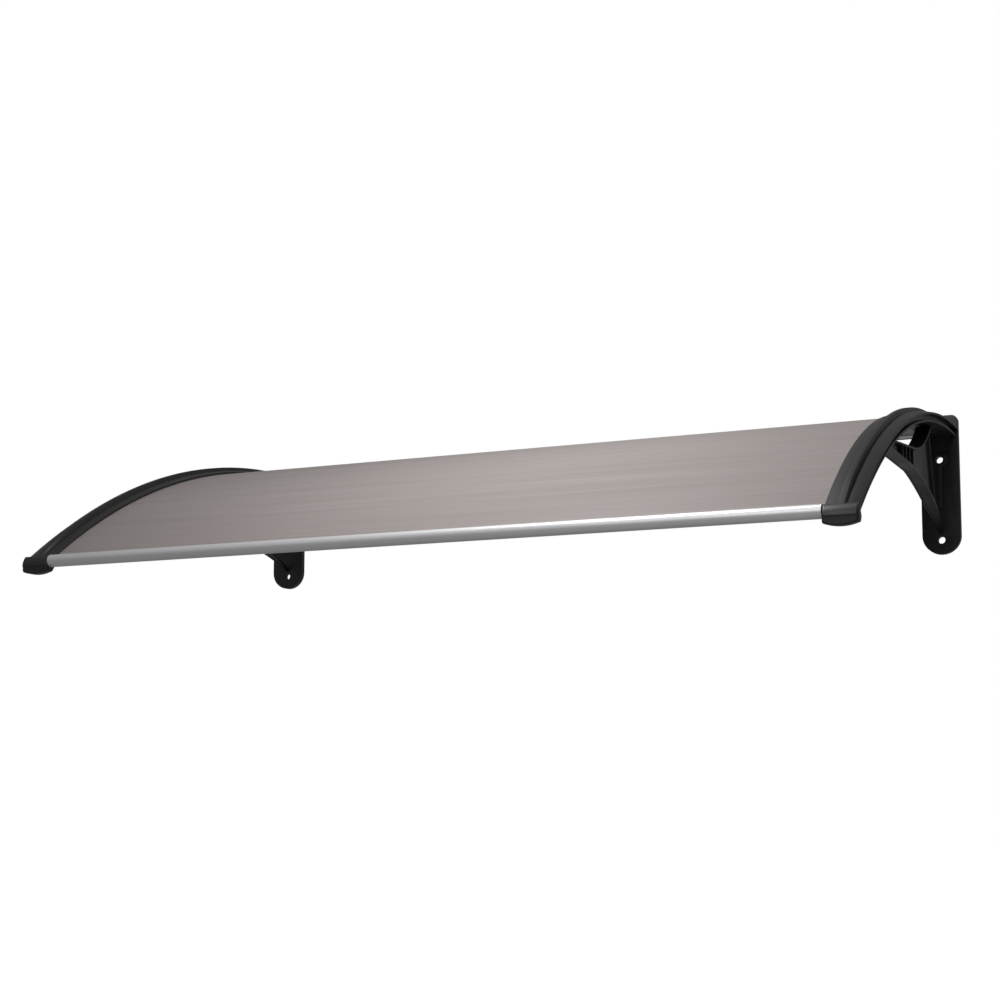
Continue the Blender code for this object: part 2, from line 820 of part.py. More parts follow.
def make_rail(parts, aluminium):
    """Rear rail: a jaw for the sheet's rear edge in front of one closed chamber."""
    back = -seal_thickness - clearance
    front = -rail_out
    floor = -rail_floor_out
    half = rail_height / 2
    jaw = sheet_thickness / 2 + clearance
    outline = [
        (back, -half), (back, half), (front, half), (front, jaw), (floor, jaw), (floor, -jaw),
        (front, -jaw), (front, -half)]
    chamber_front = floor + rail_wall
    chamber_back = back - rail_wall
    chamber_half = half - rail_wall
    chamber = [
        (chamber_back, -chamber_half), (chamber_back, chamber_half), (chamber_front, chamber_half),
        (chamber_front, -chamber_half)]
    rail = prism("rear_rail", [outline, chamber], -rail_half_length, rail_half_length, parts)
    finish(rail, aluminium)


def make_seal(parts, rubber):
    """Rubber seal between the rail and the wall, with a soft wedge along its upper edge."""
    half = seal_height / 2
    wedge = seal_thickness / 2
    outline = [
        (0, -half), (0, half), (-wedge, half), (-seal_thickness, half - wedge),
        (-seal_thickness, -half + wedge), (-wedge, -half)]
    seal = prism("wall_seal", [outline], -rail_half_length, rail_half_length, parts)
    finish(seal, rubber)


def main():
    for thing in list(bpy.data.objects):
        bpy.data.objects.remove(thing)
    parts = make_collection("door_canopy")
    cutters = make_collection("cutters")
    plastic = make_material("black_plastic", (0.022, 0.022, 0.024), 0.42)
    polycarbonate = make_material("tinted_polycarbonate", (0.30, 0.27, 0.26), 0.25)
    aluminium = make_material("satin_aluminium", (0.78, 0.78, 0.79), 0.35, 1.0)
    rubber = make_material("black_rubber", (0.015, 0.015, 0.016), 0.75)
    steel = make_material("black_steel", (0.05, 0.05, 0.055), 0.45, 1.0)
    make_brackets(parts, cutters, plastic)
    make_strips(parts, cutters, plastic)
    make_strip_screws(parts, steel)
    make_gaskets(parts, rubber)
    make_sheet(parts, polycarbonate)
    make_bar(parts, aluminium)
    make_caps(parts, cutters, plastic, steel)
    make_rail(parts, aluminium)
    make_seal(parts, rubber)


main()
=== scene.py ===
"""Door canopy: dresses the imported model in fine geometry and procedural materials.

Metres, in the part's own frame: X along the wall, the wall at Y = 0, the canopy out towards -Y, Z up.
"""
import math

import bmesh
import bpy
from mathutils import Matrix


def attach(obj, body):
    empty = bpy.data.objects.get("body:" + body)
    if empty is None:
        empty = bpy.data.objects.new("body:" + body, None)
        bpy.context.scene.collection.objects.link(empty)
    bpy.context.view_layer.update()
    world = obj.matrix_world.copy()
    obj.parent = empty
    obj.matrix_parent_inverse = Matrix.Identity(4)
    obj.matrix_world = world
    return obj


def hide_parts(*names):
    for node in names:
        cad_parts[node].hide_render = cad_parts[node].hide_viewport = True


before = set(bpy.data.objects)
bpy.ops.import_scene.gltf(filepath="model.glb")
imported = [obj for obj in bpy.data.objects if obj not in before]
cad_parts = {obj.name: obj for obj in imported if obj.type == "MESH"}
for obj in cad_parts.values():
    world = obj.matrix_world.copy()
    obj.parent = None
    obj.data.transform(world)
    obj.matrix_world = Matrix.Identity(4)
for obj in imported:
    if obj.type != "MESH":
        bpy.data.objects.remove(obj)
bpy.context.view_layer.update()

# Sizes of the part, as the solids have them
overall_width = 1.200
projection = 0.700
clearance = 0.0003
arch_radius = 1.122
crown_out = 0.020
sheet_thickness = 0.0050
flute_pitch = 0.0061
plate_width = 0.057
plate_height = 0.212
plate_bottom = -0.186
plate_thickness = 0.011
plate_corner = 0.010
low_hole_rise = 0.0215
hole_spacing = 0.1225
low_hole_z = plate_bottom + low_hole_rise
high_hole_z = low_hole_z + hole_spacing
wall_hole_radius = 0.0055
boss_radius = 0.0125
boss_height = 0.0030
flange_thickness = 0.0030
flange_inset = 0.0030
rib_width = 0.0090
strip_front_width = 0.042
cap_face_in = 0.0095
cap_side_margin = 0.0005
gasket_thickness = 0.0015
bracket_x = (overall_width - plate_width) / 2
sheet_top = arch_radius + sheet_thickness / 2
sheet_bottom = arch_radius - sheet_thickness / 2
flange_top = sheet_bottom - gasket_thickness - 2 * clearance
flange_bottom = flange_top - flange_thickness
strip_bottom = sheet_top + clearance
strip_crown_thickness = 0.0055
strip_crown = strip_bottom + strip_crown_thickness
screw_outs = (0.070, 0.205, 0.345, 0.515, 0.630)


def arch_point(radius, angle):
    """Point (y, z) of the arch at an angle forward of its crown line."""
    return (-crown_out - radius * math.sin(angle), -arch_radius + radius * math.cos(angle))


def arch_angle(out, radius):
    """Angle at which a radius of the arch is a given distance out from the wall."""
    return math.asin((out - crown_out) / radius)


cap_face_angle = arch_angle(projection - cap_face_in, strip_crown)
front_angle = cap_face_angle - clearance / arch_radius


# Node helpers


def add(tree, kind, inputs=None, **settings):
    """New node of a shader or geometry tree; an input takes a value or another node's socket."""
    node = tree.nodes.new(kind)
    for name, value in settings.items():
        setattr(node, name, value)
    for name, value in (inputs or {}).items():
        if isinstance(value, bpy.types.NodeSocket):
            tree.links.new(value, node.inputs[name])
        else:
            node.inputs[name].default_value = value
    return node


def maths(tree, operation, first, second=0.0, third=None):
    inputs = {0: first, 1: second}
    if third is not None:
        inputs[2] = third
    return add(tree, "ShaderNodeMath", inputs, operation=operation).outputs[0]


def noise(tree, vector, scale, detail=3.0, roughness=0.5):
    inputs = {"Vector": vector, "Scale": scale, "Detail": detail, "Roughness": roughness}
    return add(tree, "ShaderNodeTexNoise", inputs).outputs["Fac"]


def stretched(tree, vector, scale):
    return add(tree, "ShaderNodeMapping", {"Vector": vector, "Scale": scale}).outputs[0]


def spread(tree, value, low, high, to_low, to_high):
    inputs = {"Value": value, "From Min": low, "From Max": high, "To Min": to_low, "To Max": to_high}
    return add(tree, "ShaderNodeMapRange", inputs).outputs[0]


def blend_colours(tree, factor, first, second):
    """Colour between two colours, each a colour or a socket."""
    node = add(tree, "ShaderNodeMix", data_type="RGBA")
    for name, value in (("Factor_Float", factor), ("A_Color", first), ("B_Color", second)):
        socket = next(item for item in node.inputs if item.identifier == name)
        if isinstance(value, bpy.types.NodeSocket):
            tree.links.new(value, socket)
        else:
            socket.default_value = value if name == "Factor_Float" else (*value, 1.0)
    return next(item for item in node.outputs if item.identifier == "Result_Color")


def new_material(name):
    material = bpy.data.materials.new(name)
    material.use_nodes = True
    return material, material.node_tree, material.node_tree.nodes["Principled BSDF"]


def bump(tree, shader, height, strength, distance):
    inputs = {"Height": height, "Strength": strength, "Distance": distance}
    tree.links.new(add(tree, "ShaderNodeBump", inputs).outputs[0], shader.inputs["Normal"])


# Materials


def moulded_plastic():
    """Black plastic with a fine spark grain, cloudy gloss and a little dust on what faces up."""
    material, tree, shader = new_material("moulded_black_plastic")
    place = add(tree, "ShaderNodeTexCoord").outputs["Object"]
    grain = noise(tree, place, 1500, 2)
    cloud = noise(tree, place, 16, 4)
    flow = noise(tree, stretched(tree, place, (30, 5, 5)), 3, 3)
    up = add(tree, "ShaderNodeSeparateXYZ", {0: add(tree, "ShaderNodeNewGeometry").outputs["True Normal"]})
    dust = maths(tree, "MULTIPLY", spread(tree, up.outputs["Z"], 0.2, 1.0, 0.0, 0.5), cloud)
    colour = blend_colours(tree, flow, (0.0060, 0.0060, 0.0066), (0.0090, 0.0090, 0.0097))
    colour = blend_colours(tree, dust, colour, (0.012, 0.0118, 0.0116))
    tree.links.new(colour, shader.inputs["Base Color"])
    tree.links.new(spread(tree, cloud, 0.3, 0.7, 0.40, 0.52), shader.inputs["Roughness"])
    shader.inputs["Specular IOR Level"].default_value = 0.45
    bump(tree, shader, grain, 0.18, 0.0002)
    return material


def tinted_sheet():
    """Bronze-grey polycarbonate with a faint line at each flute and long streaks along them."""
    material, tree, shader = new_material("tinted_twin_wall_polycarbonate")
    place = add(tree, "ShaderNodeTexCoord").outputs["Object"]
    axes = add(tree, "ShaderNodeSeparateXYZ", {0: place}).outputs
    forward = maths(tree, "MULTIPLY", maths(tree, "ADD", axes["Y"], crown_out), -1.0)
    turn = maths(tree, "ARCTAN2", forward, maths(tree, "ADD", axes["Z"], arch_radius))
    along = maths(tree, "MULTIPLY", turn, arch_radius)
    flat = add(tree, "ShaderNodeCombineXYZ", {0: axes["X"], 1: along}).outputs[0]
    streak = noise(tree, stretched(tree, flat, (2.2, 420, 1)), 1, 2)
    broad = noise(tree, stretched(tree, flat, (1.1, 60, 1)), 1, 3)
    grain = noise(tree, stretched(tree, flat, (60, 900, 1)), 1, 2)
    wave = maths(tree, "COSINE", maths(tree, "MULTIPLY", along, 2 * math.pi / flute_pitch))
    line = spread(tree, wave, 0.72, 1.0, 0.0, 1.0)
    colour = blend_colours(tree, broad, (0.209, 0.183, 0.176), (0.275, 0.243, 0.235))
    light_streak = spread(tree, streak, 0.52, 0.80, 0.0, 0.45)
    colour = blend_colours(tree, light_streak, colour, (0.387, 0.351, 0.345))
    colour = blend_colours(tree, maths(tree, "MULTIPLY", line, 0.16), colour, (0.09, 0.08, 0.077))
    tree.links.new(colour, shader.inputs["Base Color"])
    tree.links.new(spread(tree, streak, 0.3, 0.7, 0.34, 0.46), shader.inputs["Roughness"])
    shader.inputs["IOR"].default_value = 1.58
    shader.inputs["Specular IOR Level"].default_value = 0.3
    height = maths(tree, "ADD", maths(tree, "MULTIPLY", line, 0.6), maths(tree, "MULTIPLY", grain, 0.25))
    bump(tree, shader, height, 0.22, 0.0002)
    return material


def satin_aluminium():
    """Anodised aluminium, brushed along X."""
    material, tree, shader = new_material("satin_anodised_aluminium")
    place = add(tree, "ShaderNodeTexCoord").outputs["Object"]
    brush = noise(tree, stretched(tree, place, (6, 2600, 2600)), 1, 3)
    cloud = noise(tree, stretched(tree, place, (5, 60, 60)), 1, 3)
    colour = blend_colours(tree, cloud, (0.58, 0.58, 0.59), (0.66, 0.66, 0.67))
    tree.links.new(colour, shader.inputs["Base Color"])
    shader.inputs["Metallic"].default_value = 0.50
    shader.inputs["Specular IOR Level"].default_value = 0.5
    tree.links.new(spread(tree, brush, 0.3, 0.7, 0.38, 0.48), shader.inputs["Roughness"])
    bump(tree, shader, brush, 0.10, 0.0001)
    return material


def soft_rubber():
    """Matt black rubber with fine extrusion lines along X."""
    material, tree, shader = new_material("extruded_black_rubber")
    place = add(tree, "ShaderNodeTexCoord").outputs["Object"]
    lines = noise(tree, stretched(tree, place, (8, 1500, 1500)), 1, 2)
    bloom = noise(tree, place, 30, 4)
    colour = blend_colours(tree, bloom, (0.012, 0.012, 0.012), (0.026, 0.025, 0.025))
    tree.links.new(colour, shader.inputs["Base Color"])
    tree.links.new(spread(tree, bloom, 0.3, 0.7, 0.70, 0.85), shader.inputs["Roughness"])
    bump(tree, shader, lines, 0.25, 0.0002)
    return material


def black_steel():
    """Blackened steel with a soft crystalline cloud."""
    material, tree, shader = new_material("blackened_steel")
    place = add(tree, "ShaderNodeTexCoord").outputs["Object"]
    cloud = noise(tree, place, 600, 3)
    colour = blend_colours(tree, cloud, (0.030, 0.030, 0.032), (0.055, 0.055, 0.057))
    tree.links.new(colour, shader.inputs["Base Color"])
    shader.inputs["Metallic"].default_value = 1.0
    tree.links.new(spread(tree, cloud, 0.3, 0.7, 0.28, 0.42), shader.inputs["Roughness"])
    bump(tree, shader, cloud, 0.08, 0.0001)
    return material


plastic = moulded_plastic()
polycarbonate = tinted_sheet()
aluminium = satin_aluminium()
rubber = soft_rubber()
steel = black_steel()


# Mesh helpers


def new_object(name, mesh):
    thing = bpy.data.objects.new(name, mesh)
    bpy.context.scene.collection.objects.link(thing)
    return thing


def mesh_from(name, shape):
    """Weld a bmesh, point its faces outwards and make it a mesh."""
    bmesh.ops.remove_doubles(shape, verts=shape.verts, dist=1e-6)
    bmesh.ops.recalc_face_normals(shape, faces=shape.faces)
    mesh = bpy.data.meshes.new(name)
    shape.to_mesh(mesh)
    shape.free()
    return mesh


def evaluated_mesh(thing):
    bpy.context.view_layer.update()
    graph = bpy.context.evaluated_depsgraph_get()
    return bpy.data.meshes.new_from_object(thing.evaluated_get(graph))


def rounded(name, mesh, width, segments=2, angle=35):
    """Round the sharp edges of a mesh."""
    thing = new_object(name, mesh)
    edge = thing.modifiers.new("edge", "BEVEL")
    edge.width = width
    edge.segments = segments
    edge.limit_method = "ANGLE"
    edge.angle_limit = math.radians(angle)
    edge.use_clamp_overlap = True
    smooth = evaluated_mesh(thing)
    bpy.data.objects.remove(thing)
    return smooth


def prism(name, outlines, low, high, across="X"):
    """Solid between two planes with the given outlines, the later ones as holes.

    Across X the outline's points are (y, z), and across Y they are (x, z).
    """
    curve = bpy.data.curves.new(name, "CURVE")
    curve.dimensions = "2D"
    curve.fill_mode = "BOTH"
    curve.extrude = (high - low) / 2
    for outline in outlines:
        spline = curve.splines.new("POLY")
        spline.points.add(len(outline) - 1)
        for point, (u, v) in zip(spline.points, outline):
            point.co = (u, v, 0, 1)
        spline.use_cyclic_u = True
    guide = new_object(name, curve)
    middle = (low + high) / 2
    if across == "X":
        guide.rotation_euler = (math.pi / 2, 0, math.pi / 2)
        guide.location.x = middle
    else:
        guide.rotation_euler = (math.pi / 2, 0, 0)
        guide.location.y = middle
    flat = evaluated_mesh(guide)
    flat.transform(guide.matrix_world)
    bpy.data.objects.remove(guide)
    shape = bmesh.new()
    shape.from_mesh(flat)
    bpy.data.meshes.remove(flat)
    bmesh.ops.remove_doubles(shape, verts=shape.verts, dist=1e-6)
    bmesh.ops.dissolve_limit(shape, angle_limit=0.001, verts=shape.verts, edges=shape.edges)
    return mesh_from(name, shape)


def loft(name, rings):
    """Solid through rings of (x, y, z) points that all have the same count."""
    shape = bmesh.new()
    rows = [[shape.verts.new(point) for point in ring] for ring in rings]
    count = len(rows[0])
    for row, following in zip(rows, rows[1:]):
        for k in range(count):
            after = (k + 1) % count
            shape.faces.new((row[k], row[after], following[after], following[k]))
    shape.faces.new(rows[0])
    shape.faces.new(rows[-1])
    return mesh_from(name, shape)


def lathe(name, profile, sides):
    """Solid turned about Z from (radius, height) points that start and end on the axis."""
    shape = bmesh.new()
    verts = [shape.verts.new((radius, 0, height)) for radius, height in profile]
    edges = [shape.edges.new(pair) for pair in zip(verts, verts[1:])]
    bmesh.ops.spin(
        shape, geom=verts + edges, cent=(0, 0, 0), axis=(0, 0, 1), angle=2 * math.pi, steps=sides,
        use_merge=True)
    return mesh_from(name, shape)


def piece(name, meshes, material, replaced, centre=0.0, sharp=30):
    """Put meshes together as one finished piece that stands for a node of the frame."""
    whole = bmesh.new()
    for mesh in meshes:
        whole.from_mesh(mesh)
        bpy.data.meshes.remove(mesh)
    bmesh.ops.translate(whole, verts=whole.verts, vec=(centre, 0, 0))
    mesh = bpy.data.meshes.new(name)
    whole.to_mesh(mesh)
    whole.free()
    mesh.materials.append(material)
    mesh.shade_smooth()
    mesh.set_sharp_from_angle(angle=math.radians(sharp))
    thing = new_object(name, mesh)
    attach(thing, "root")
    for node in replaced:
        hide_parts(node)


# Geometry nodes


def new_tree(name, sizes):
    """Empty geometry tree with a Geometry input and the named float inputs, in that order."""
    tree = bpy.data.node_groups.new(name, "GeometryNodeTree")
    tree.interface.new_socket("Geometry", in_out="INPUT", socket_type="NodeSocketGeometry")
    for label, kind in sizes:
        tree.interface.new_socket(label, in_out="INPUT", socket_type="NodeSocket" + kind)
    tree.interface.new_socket("Geometry", in_out="OUTPUT", socket_type="NodeSocketGeometry")
    return tree, add(tree, "NodeGroupInput").outputs


def end_tree(tree, geometry, material):
    whole = add(tree, "GeometryNodeRealizeInstances", {"Geometry": geometry}).outputs[0]
    painted = add(tree, "GeometryNodeSetMaterial", {"Geometry": whole, "Material": material}).outputs[0]
    add(tree, "NodeGroupOutput", {"Geometry": painted})


def grow(name, tree, seed_mesh, values):
    """Run a geometry tree on a mesh with the given input values and return the plain mesh."""
    thing = new_object(name, seed_mesh)
    growth = thing.modifiers.new("growth", "NODES")
    growth.node_group = tree
    for item in tree.interface.items_tree:
        if item.item_type == "SOCKET" and item.in_out == "INPUT" and item.name in values:
            growth[item.identifier] = values[item.name]
    mesh = evaluated_mesh(thing)
    thing.modifiers.remove(growth)
    bpy.data.objects.remove(thing)
    return mesh


def on_arch(tree, radius, angle, inputs):
    """Sockets (y, z) of a point at a radius and an angle of the arch."""
    y = maths(tree, "MULTIPLY", radius, maths(tree, "SINE", angle))
    y = maths(tree, "MULTIPLY", maths(tree, "ADD", y, inputs["Crown out"]), -1.0)
    z = maths(tree, "MULTIPLY", radius, maths(tree, "COSINE", angle))
    return y, maths(tree, "SUBTRACT", z, inputs["Arch radius"])


def moulding_tree():
    """Sweep a section along the arch and let it widen towards the wall.

    The section is a mesh of points (share of the half width, offset, height), one after another.
    """
    tree, inputs = new_tree("arch_moulding", (
        ("Points", "Int"), ("Steps", "Int"), ("Start", "Float"), ("End", "Float"), ("Base radius", "Float"),
        ("Arch radius", "Float"), ("Crown out", "Float"), ("Centre", "Float"), ("Front half", "Float"),
        ("Rear half", "Float"), ("Reach", "Float"), ("Material", "Material")))
    grid = add(tree, "GeometryNodeMeshGrid", {"Vertices X": inputs["Points"], "Vertices Y": inputs["Steps"]})
    index = add(tree, "GeometryNodeInputIndex").outputs[0]
    column = maths(tree, "FLOOR", maths(tree, "DIVIDE", maths(tree, "ADD", index, 0.5), inputs["Steps"]))
    step = maths(tree, "SUBTRACT", index, maths(tree, "MULTIPLY", column, inputs["Steps"]))
    sample = add(tree, "GeometryNodeSampleIndex", {
        "Geometry": inputs["Geometry"], "Value": add(tree, "GeometryNodeInputPosition").outputs[0],
        "Index": column}, data_type="FLOAT_VECTOR", domain="POINT")
    point = add(tree, "ShaderNodeSeparateXYZ", {0: sample.outputs[0]}).outputs
    inner = maths(tree, "SUBTRACT", inputs["Steps"], 3.0)
    share = maths(tree, "DIVIDE", maths(tree, "SUBTRACT", step, 1.0), inner)
    share = maths(tree, "MINIMUM", maths(tree, "MAXIMUM", share, 0.0), 1.0)
    angle = maths(tree, "SUBTRACT", inputs["End"], inputs["Start"])
    angle = maths(tree, "ADD", maths(tree, "MULTIPLY", angle, share), inputs["Start"])
    first = maths(tree, "COMPARE", step, 0.0, 0.5)
    last = maths(tree, "COMPARE", step, maths(tree, "SUBTRACT", inputs["Steps"], 1.0), 0.5)
    body = maths(tree, "SUBTRACT", 1.0, maths(tree, "MAXIMUM", first, last))
    rise = maths(tree, "MULTIPLY", point["Z"], body)
    radius = maths(tree, "ADD", inputs["Base radius"], rise)
    out = maths(tree, "MULTIPLY", inputs["Base radius"], maths(tree, "SINE", angle))
    out = maths(tree, "ADD", out, inputs["Crown out"])
    far = maths(tree, "SUBTRACT", 1.0, maths(tree, "DIVIDE", out, inputs["Reach"]))
    half = maths(tree, "SUBTRACT", inputs["Rear half"], inputs["Front half"])
    half = maths(tree, "ADD", maths(tree, "MULTIPLY", half, far), inputs["Front half"])
    x = maths(tree, "ADD", maths(tree, "MULTIPLY", point["X"], half), point["Y"])
    x = maths(tree, "ADD", maths(tree, "MULTIPLY", x, body), inputs["Centre"])
    y, z = on_arch(tree, radius, angle, inputs)
    place = add(tree, "ShaderNodeCombineXYZ", {0: x, 1: y, 2: z}).outputs[0]
    moved = add(tree, "GeometryNodeSetPosition", {"Geometry": grid.outputs[0], "Position": place}).outputs[0]
    welded = add(tree, "GeometryNodeMergeByDistance", {"Geometry": moved, "Distance": 0.000002}).outputs[0]
    end_tree(tree, welded, inputs["Material"])
    return tree


def sheet_tree():
    """Bend a flat grid to the arch and give it its thickness, with a faint rise at each flute."""
    tree, inputs = new_tree("arched_sheet", (
        ("Length", "Float"), ("Start", "Float"), ("End", "Float"), ("Rows", "Int"), ("Columns", "Int"),
        ("Thickness", "Float"), ("Flute pitch", "Float"), ("Ripple", "Float"),
        ("Arch radius", "Float"), ("Crown out", "Float"), ("Material", "Material")))
    grid = add(tree, "GeometryNodeMeshGrid", {
        "Size X": 1.0, "Size Y": 1.0, "Vertices X": inputs["Columns"], "Vertices Y": inputs["Rows"]})
    flat = add(tree, "ShaderNodeSeparateXYZ", {0: add(tree, "GeometryNodeInputPosition").outputs[0]}).outputs
    angle = maths(tree, "SUBTRACT", inputs["End"], inputs["Start"])
    angle = maths(tree, "MULTIPLY", angle, maths(tree, "SUBTRACT", 0.5, flat["Y"]))
    angle = maths(tree, "ADD", angle, inputs["Start"])
    along = maths(tree, "MULTIPLY", angle, inputs["Arch radius"])
    turns = maths(tree, "MULTIPLY", maths(tree, "DIVIDE", along, inputs["Flute pitch"]), 2 * math.pi)
    ripple = maths(tree, "MULTIPLY", maths(tree, "COSINE", turns), inputs["Ripple"])
    half = maths(tree, "MULTIPLY", inputs["Thickness"], 0.5)
    x = maths(tree, "MULTIPLY", flat["X"], inputs["Length"])
    skins = []
    for sign in (1.0, -1.0):
        depth = maths(tree, "MULTIPLY", maths(tree, "SUBTRACT", half, maths(tree, "ABSOLUTE", ripple)), sign)
        y, z = on_arch(tree, maths(tree, "ADD", inputs["Arch radius"], depth), angle, inputs)
        place = add(tree, "ShaderNodeCombineXYZ", {0: x, 1: y, 2: z}).outputs[0]
        skin = add(tree, "GeometryNodeSetPosition", {"Geometry": grid.outputs[0], "Position": place})
        skins.append(skin.outputs[0])
    lower = add(tree, "GeometryNodeFlipFaces", {"Mesh": skins[1]}).outputs[0]
    both = add(tree, "GeometryNodeJoinGeometry")
    for skin in (skins[0], lower):
        tree.links.new(skin, both.inputs[0])
    end_tree(tree, both.outputs[0], inputs["Material"])
    return tree


def screw_tree():
    """Set a screw at each seat, with its axis on the arch's radius."""
    tree, inputs = new_tree("arch_screws", (
        ("Screw", "Object"), ("Arch radius", "Float"), ("Crown out", "Float"), ("Material", "Material")))
    seat = add(tree, "ShaderNodeSeparateXYZ", {0: add(tree, "GeometryNodeInputPosition").outputs[0]}).outputs
    y = maths(tree, "ADD", seat["Y"], inputs["Crown out"])
    z = maths(tree, "ADD", seat["Z"], inputs["Arch radius"])
    radial = add(tree, "ShaderNodeCombineXYZ", {1: y, 2: z}).outputs[0]
    turn = add(tree, "FunctionNodeAlignRotationToVector", {"Vector": radial}, axis="Z").outputs[0]
    screw = add(tree, "GeometryNodeObjectInfo", {"Object": inputs["Screw"]}).outputs["Geometry"]
    rows = add(tree, "GeometryNodeInstanceOnPoints", {
        "Points": inputs["Geometry"], "Instance": screw, "Rotation": turn}).outputs[0]
    end_tree(tree, rows, inputs["Material"])
    return tree


def rib_tree():
    """Stand a rib on each point, with its own size."""
    tree, inputs = new_tree("comb_ribs", (("Material", "Material"),))
    stored = add(tree, "GeometryNodeInputNamedAttribute", {"Name": "rib_size"}, data_type="FLOAT_VECTOR")
    cube = add(tree, "GeometryNodeMeshCube").outputs[0]
    ribs = add(tree, "GeometryNodeInstanceOnPoints", {
        "Points": inputs["Geometry"], "Instance": cube, "Scale": stored.outputs[0]}).outputs[0]
    end_tree(tree, ribs, inputs["Material"])
    return tree


def points_mesh(name, points):
    mesh = bpy.data.meshes.new(name)
    mesh.from_pydata([tuple(point) for point in points], [], [])
    return mesh


mouldings = moulding_tree()
sheets = sheet_tree()
screws = screw_tree()
ribs = rib_tree()


def arc(centre_u, centre_v, radius, start, end, steps):
    """Points of an arc, with angles in degrees."""
    points = []
    for count in range(steps + 1):
        turn = math.radians(start + (end - start) * count / steps)
        points.append((centre_u + radius * math.cos(turn), centre_v + radius * math.sin(turn)))
    return points


def moulding(name, section, base_radius, start, end, steps=90):
    """Closed mesh of a section of (share, offset, height) points swept along the arch."""
    closed = list(section) + [section[0]]
    mesh = grow(name, mouldings, points_mesh(name, closed), {
        "Points": len(closed), "Steps": steps, "Start": start, "End": end, "Base radius": base_radius,
        "Arch radius": arch_radius, "Crown out": crown_out, "Centre": 0.0,
        "Front half": strip_front_width / 2, "Rear half": plate_width / 2, "Reach": projection,
        "Material": plastic})
    shape = bmesh.new()
    shape.from_mesh(mesh)
    bpy.data.meshes.remove(mesh)
    return mesh_from(name, shape)


# Cover strips

strip_edge_thickness = 0.0032
strip_edge_round = 0.0011
strip_edge_in = 0.0010
pad_steps = 9
strip_foot_in = 0.0055
strip_foot_thickness = 0.0025
spine_height = 0.0060
spine_half = 0.0055
spine_top_half = 0.0038
spine_top_round = 0.0009
spine_fall_length = 0.050
spine_fall_share = 0.70
groove_width = 0.0014
# Groove at the spine's foot: distances from the spine's side and from the pad's crown
groove_points = ((-groove_width, 0.0), (-0.0006, -0.0014), (-0.0001, -0.0012), (0.0002, 0.0006))


def strip_points(side):
    """Section of a cover strip: a swelling pad on each side of a raised spine, with rounded edges."""
    edge = strip_edge_thickness
    swell = strip_crown_thickness - edge
    points = [(-1.0, 0.0, 0.0)]
    for u, v in arc(strip_edge_round, edge - strip_edge_round, strip_edge_round, 180, 100, 4):
        points.append((-1.0, u, v))
    for count in range(1, pad_steps):
        share = count / pad_steps
        height = edge + swell * math.sin(share * math.pi / 2)
        offset = -share * (spine_half + groove_width) + strip_edge_in * (1 - share)
        points.append((-(1 - share), offset, height))
    for offset, height in groove_points:
        points.append((0.0, -spine_half + offset, strip_crown_thickness + height))
    top = strip_crown_thickness + spine_height
    for u, v in arc(-spine_top_half + spine_top_round, top - spine_top_round, spine_top_round, 165, 90, 4):
        points.append((0.0, u, v))
    mirrored = [(-share, -offset, height) for share, offset, height in reversed(points)]
    inner = [point for point in points if not (point[0] == 0.0 and point[2] < strip_crown_thickness)]
    outline = inner + mirrored
    foot = flange_inset + strip_foot_in
    toe = foot + strip_foot_thickness
    depth = strip_bottom - flange_top - clearance
    outline += [(1.0, -foot, 0.0), (1.0, -foot, -depth), (1.0, -toe, -depth), (1.0, -toe, 0.0)]
    return [(side * share, side * offset, height) for share, offset, height in outline]


def lower_spine(mesh):
    """Let the spine run down towards the front cap over its last length."""
    for vert in mesh.vertices:
        x, y, z = vert.co
        radius = math.hypot(y + crown_out, z + arch_radius)
        fall = max(0.0, 1 - (projection - cap_face_in + y) / spine_fall_length)
        if fall > 0 and radius > strip_crown:
            share = (strip_crown + (radius - strip_crown) * (1 - spine_fall_share * fall)) / radius
            vert.co = (x, (y + crown_out) * share - crown_out, (z + arch_radius) * share - arch_radius)


for side, word in ((-1, "left"), (1, "right")):
    rear = arch_angle(plate_thickness + clearance, strip_bottom)
    strip = moulding("strip_" + word, strip_points(side), strip_bottom, rear, front_angle)
    lower_spine(strip)
    name = "cover_strip_" + word
    piece("strip_cover_" + word, [strip], plastic, [name], side * bracket_x, 32)


# Brackets

plate_round = 0.0014
boss_round = 0.0009
column_rise = 0.070
column_head_drop = 0.0085
column_radius = 0.0045
arm_root_out = 0.004
edge_cut = 0.0005
flange_cut = 0.0006
brace_foot_rise = 0.030
brace_top_rise = 0.087
brace_bend_out = 0.260
brace_reach_out = 0.472
brace_thickness = 0.0040
brace_roundness = 1.3
brace_start_degrees = 4
brace_front_drop = 0.003
brace_front_steps = 6
brace_end_lean = 0.0085
brace_toe_half = 0.0016
brace_half_growth = 0.0072
brace_growth_length = 0.119
bead_width = 0.0024
bead_depth = 0.0010
bead_slope = 0.0004
hammock_front = (0.450, 0.094)
hammock_bend = (0.275, 0.112)
hammock_rear_out = 0.141
hammock_rear_turn = math.radians(40)
hammock_thickness = 0.0030
hammock_half = 0.0110
hammock_end_lean = 0.0100
strut_top_out = 0.138
strut_foot_out = 0.096
strut_half_thickness = 0.00175
strut_half_width = 0.0065
web_half = 0.0020
web_strut_lap = 0.002
comb_rib_outs = (0.346, 0.321, 0.296, 0.270)
comb_rib_width = 0.0160
comb_rib_thickness = 0.0030
comb_rib_round = 0.0004


